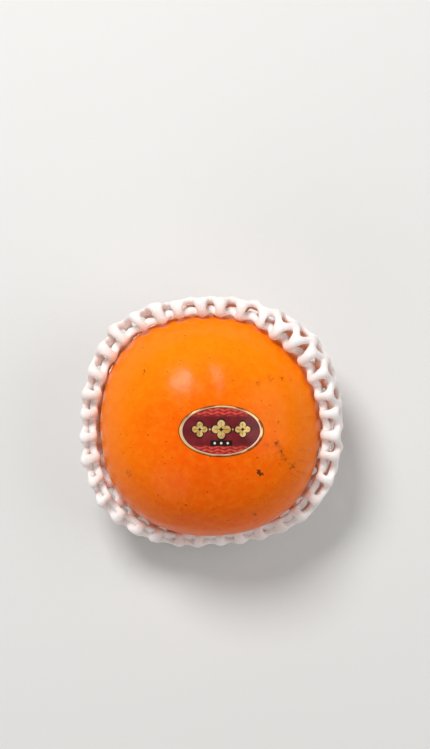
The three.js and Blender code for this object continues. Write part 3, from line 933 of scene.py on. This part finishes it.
def net_point(angle, row, out):
    """A point of the net, `row` rows from the tucked-in edge, and `out` half depths of a strand outwards."""
    tilt = FOLD_TILT * np.cos(angle - math.radians(FOLD_TILT_TOWARDS))
    sag = nearness(angle, SAG_TOWARDS, SAG_SPREAD)
    waves = sum(rise * np.sin(turns * angle + start) for rise, turns, start in FOLD_WAVES)
    high = sum(rise * nearness(angle, towards, spread) for rise, towards, spread in HIGH)
    fold_length = WIDEST - FOLD_RISE - tilt - high - waves + SAG_DROP * sag
    looser = sum(wider * nearness(angle, towards, spread) for wider, towards, spread in LOOSE)
    fold_radius = FOLD_RADIUS - FOLD_CORNER * np.cos(CORNERS * angle) + looser - SAG_TIGHTER * sag
    slack = SLACK_CLEAR * nearness(angle, SLACK_TOWARDS, SLACK_SPREAD)
    inner = NET_CLEARANCE + slack + STRAND_HALF_DEPTH

    # The net turns over within `FOLD_HALF_ROWS` of the crest, and goes straight on at both sides of it.
    past = row - CREST_ROW
    turn = np.clip(past / FOLD_HALF_ROWS, -1, 1) * (math.pi / 2)
    beyond = np.maximum(0, np.abs(past) - FOLD_HALF_ROWS) / (NET_ROWS - 1 - CREST_ROW - FOLD_HALF_ROWS)
    length = lerp(fold_length, FOOT_LENGTH, np.where(past < 0, TUCK * beyond, beyond))
    set_back = INNER_SETBACK * smoothstep(-past, INNER_SETBACK_FROM, FOLD_HALF_ROWS)

    # Below the fold it closes in on the skin, later where it sags or bulges.
    bulging = nearness(angle, BULGE_TOWARDS, BULGE_SPREAD)
    bulge = BULGE_OUT * bulging * smoothstep(past, 0, BULGE_FULL_ROWS)
    closed = CLOSING_TO + BULGE_ROWS * bulging
    lowered = smoothstep((past - CLOSING_LATER_IN_SAG * sag - CLOSING_FROM) / (closed - CLOSING_FROM), 0, 1)
    at_fold = inner + fold_radius * (1 + np.sin(turn)) + bulge + set_back
    away = lerp(at_fold, FOOT_CLEARANCE + STRAND_HALF_DEPTH, lowered)

    upward, from_skin = skin_axes(length, angle)
    outwards = out * STRAND_HALF_DEPTH
    return (
        skin_point(length, angle)
        + from_skin * (away + outwards * np.sin(turn))[..., None]
        + upward * ((FOLD_HEIGHT * fold_radius + outwards) * np.cos(turn))[..., None]
    )


# Corners of a joint: mm across, and rows along.
JOINT_OUTLINE = [
    (0, -JOINT_TIP),
    (JOINT_WIDTH, -JOINT_SHOULDER),
    (JOINT_WAIST, 0),
    (JOINT_WIDTH, JOINT_SHOULDER),
    (0, JOINT_TIP),
    (-JOINT_WIDTH, JOINT_SHOULDER),
    (-JOINT_WAIST, 0),
    (-JOINT_WIDTH, -JOINT_SHOULDER),
]
TOP, TOP_RIGHT, RIGHT, LOW_RIGHT, LOW, LOW_LEFT, LEFT, TOP_LEFT = range(8)


def joint_points(column, row):
    """The corners of a joint on both faces of the net, and the middles of its two knobs."""
    on_crest = row == CREST_ROW
    straight = (column + (row % 2) / 2) * 2 * math.pi / NET_COLUMNS
    middle = net_point(np.array(straight), np.array(float(row)), np.array(0.0))
    reach = math.hypot(middle[0], middle[1])
    size = 1 + JITTER_SIZE * scatter(column, row, FOR_SIZE)
    narrow = size * min(1, lerp(NARROW_LEAST, 1, reach / NARROW_RADIUS))
    angle = straight + JITTER_ACROSS * scatter(column, row, FOR_ACROSS) / reach
    along = row + JITTER_ALONG * scatter(column, row, FOR_ALONG)
    lift = JITTER_LIFT * scatter(column, row, FOR_LIFT) if row < NET_ROWS - 2 else 0
    corners = np.array(JOINT_OUTLINE)
    full = np.where(corners[:, 0] == 0, STRAND_FULLNESS, JOINT_FULLNESS)
    outer = full * (CREST_DEPTHS if on_crest else 1)
    across = corners[:, 0] * narrow * (CREST_WIDTHS if on_crest else 1)
    across = across + JITTER_LEAN * scatter(column, row, FOR_LEAN) * corners[:, 1] / JOINT_TIP
    points = [
        net_point(angle + across / reach, along + corners[:, 1] * size, out + lift)
        for out in (outer, -full)
    ]
    knobs = net_point(np.full(2, angle), along + np.array(KNOBS) * JOINT_SHOULDER, np.full(2, lift))
    return np.vstack(points), knobs


def make_net():
    faces = []
    outline = len(JOINT_OUTLINE)

    def at(corner, inside=False):
        column, row, k = corner
        return (row * NET_COLUMNS + column % NET_COLUMNS) * 2 * outline + (outline if inside else 0) + k

    def wall(start, end):
        faces.append((at(end), at(start), at(start, True), at(end, True)))

    def patch(*corners):
        faces.append(tuple(at(c) for c in corners))
        faces.append(tuple(at(c, True) for c in reversed(corners)))

    points, knobs = [], []
    for row in range(NET_ROWS):
        for column in range(NET_COLUMNS):
            corners, middles = joint_points(column, row)
            points.append(corners)
            knobs += [Vector(middle * MM + AXIS) for middle in middles]
            own = [(column, row, k) for k in range(outline)]
            patch(own[TOP], own[TOP_RIGHT], own[TOP_LEFT])
            patch(own[TOP_LEFT], own[TOP_RIGHT], own[RIGHT], own[LEFT])
            patch(own[LEFT], own[RIGHT], own[LOW_RIGHT], own[LOW_LEFT])
            patch(own[LOW_LEFT], own[LOW_RIGHT], own[LOW])
            wall(own[TOP_RIGHT], own[RIGHT])
            wall(own[RIGHT], own[LOW_RIGHT])
            wall(own[LOW_LEFT], own[LEFT])
            wall(own[LEFT], own[TOP_LEFT])
            if row == 0:
                wall(own[TOP], own[TOP_RIGHT])
                wall(own[TOP_LEFT], own[TOP])
            if row == NET_ROWS - 1:
                wall(own[LOW_RIGHT], own[LOW])
                wall(own[LOW], own[LOW_LEFT])
                continue
            right = [(column + row % 2, row + 1, k) for k in range(outline)]
            left = [(column + row % 2 - 1, row + 1, k) for k in range(outline)]
            patch(own[LOW], own[LOW_RIGHT], right[TOP], right[TOP_LEFT])
            wall(own[LOW_RIGHT], right[TOP])
            wall(right[TOP_LEFT], own[LOW])
            patch(own[LOW_LEFT], own[LOW], left[TOP_RIGHT], left[TOP])
            wall(own[LOW], left[TOP_RIGHT])
            wall(left[TOP], own[LOW_LEFT])
    piece = add_piece("foam_sleeve", np.vstack(points), faces, "foam_net", foam_finish())
    round_off(piece)
    swell_joints(piece.data, knobs)


def round_off(piece):
    """Gives the piece the mesh that its faces become when they are rounded."""
    smooth = piece.modifiers.new("round", "SUBSURF")
    smooth.levels = smooth.render_levels = ROUNDING_STEPS
    rounded = bpy.data.meshes.new_from_object(piece.evaluated_get(bpy.context.evaluated_depsgraph_get()))
    piece.modifiers.clear()
    piece.data = rounded


def swell_joints(mesh, knobs):
    """The joints swell where the strands part, and the fruit's weight presses the lowest strands flat."""
    nearest = kdtree.KDTree(len(knobs))
    for i, knob in enumerate(knobs):
        nearest.insert(knob, i)
    nearest.balance()
    normals = [vertex.normal.copy() for vertex in mesh.vertices]
    for vertex, normal in zip(mesh.vertices, normals):
        apart = nearest.find(vertex.co)[2] / MM
        swell = KNOB_SWELL * math.exp(-((apart / KNOB_REACH) ** 2))
        uneven = FOAM_ROUGHNESS * noise.noise(vertex.co / MM * FOAM_LUMPS)
        vertex.co += normal * (swell + uneven) * MM
        vertex.co.z = max(vertex.co.z, FOOT_PRESS * MM) - FOOT_PRESS * MM


# The floor's half width is in metres.
FLOOR_HALF = 3.0
FLOOR_PALE = srgb(222, 221, 219)
FLOOR_SHADE = (0.3, srgb(217, 216, 214))


def make_floor():
    finish = Finish("pale_floor", Roughness=0.7)
    finish.set("Base Color", finish.tint(FLOOR_PALE, finish.noise(140, detail=2), FLOOR_SHADE))
    mesh = bpy.data.meshes.new("floor")
    corners = [(x * FLOOR_HALF, y * FLOOR_HALF, 0) for x, y in ((-1, -1), (1, -1), (1, 1), (-1, 1))]
    mesh.from_pydata(corners, [], [(0, 1, 2, 3)])
    floor = bpy.data.objects.new("floor", mesh)
    bpy.context.scene.collection.objects.link(floor)
    floor.data.materials.append(finish.material)


# Soft round lights: name, place and width in metres, and power in watts. All aim at the fruit.
LIGHTS = [
    ("key", (-0.34, 0.7, 0.95), 0.45, 11.5),
    ("fill", (0.75, 0.1, 0.7), 0.9, 3),
    ("low", (-0.5, -0.8, 0.6), 0.8, 1.6),
]
LIGHTS_AIM = (0, 0, 0.03)
SKY_COLOUR = (1, 0.99, 0.98, 1)
SKY_STRENGTH = 0.3


def add_light(name, place, size, power):
    data = bpy.data.lights.new(name, "AREA")
    data.shape = "DISK"
    data.size = size
    data.energy = power
    light = bpy.data.objects.new(name, data)
    light.location = place
    aim = Vector(LIGHTS_AIM) - light.location
    light.rotation_euler = aim.to_track_quat("-Z", "Y").to_euler()
    bpy.context.scene.collection.objects.link(light)


def light_scene():
    scene = bpy.context.scene
    world = bpy.data.worlds.new("studio")
    world.use_nodes = True
    sky = world.node_tree.nodes["Background"]
    sky.inputs["Color"].default_value = SKY_COLOUR
    sky.inputs["Strength"].default_value = SKY_STRENGTH
    scene.world = world
    scene.view_settings.view_transform = "Standard"
    for light in LIGHTS:
        add_light(*light)


# The photograph's frame in pixels, and where the fruit's axis stands in it. The camera looks straight down.
# Its height and that of the fruit's widest level, where the scale holds, are in metres.
FRAME_PIXELS = (430, 749)
FRUIT_PIXEL = (210.4, 425.5)
PIXELS_PER_MM = 2.41
CAMERA_HEIGHT = 1.0
WIDEST_HEIGHT = 0.0296
SENSOR = 36.0


def place_camera():
    data = bpy.data.cameras.new("camera")
    data.sensor_fit = "AUTO"
    data.sensor_width = SENSOR
    focal_pixels = PIXELS_PER_MM / MM * (CAMERA_HEIGHT - WIDEST_HEIGHT)
    data.lens = SENSOR * focal_pixels / max(FRAME_PIXELS)
    camera = bpy.data.objects.new("camera", data)
    right = (FRAME_PIXELS[0] / 2 - FRUIT_PIXEL[0]) / PIXELS_PER_MM * MM
    up = (FRUIT_PIXEL[1] - FRAME_PIXELS[1] / 2) / PIXELS_PER_MM * MM
    camera.location = (AXIS[0] + right, AXIS[1] + up, CAMERA_HEIGHT)
    bpy.context.scene.collection.objects.link(camera)
    bpy.context.scene.camera = camera


place_camera()
make_fruit()
make_calyx()
make_stem()
make_label()
make_net()
make_floor()
light_scene()
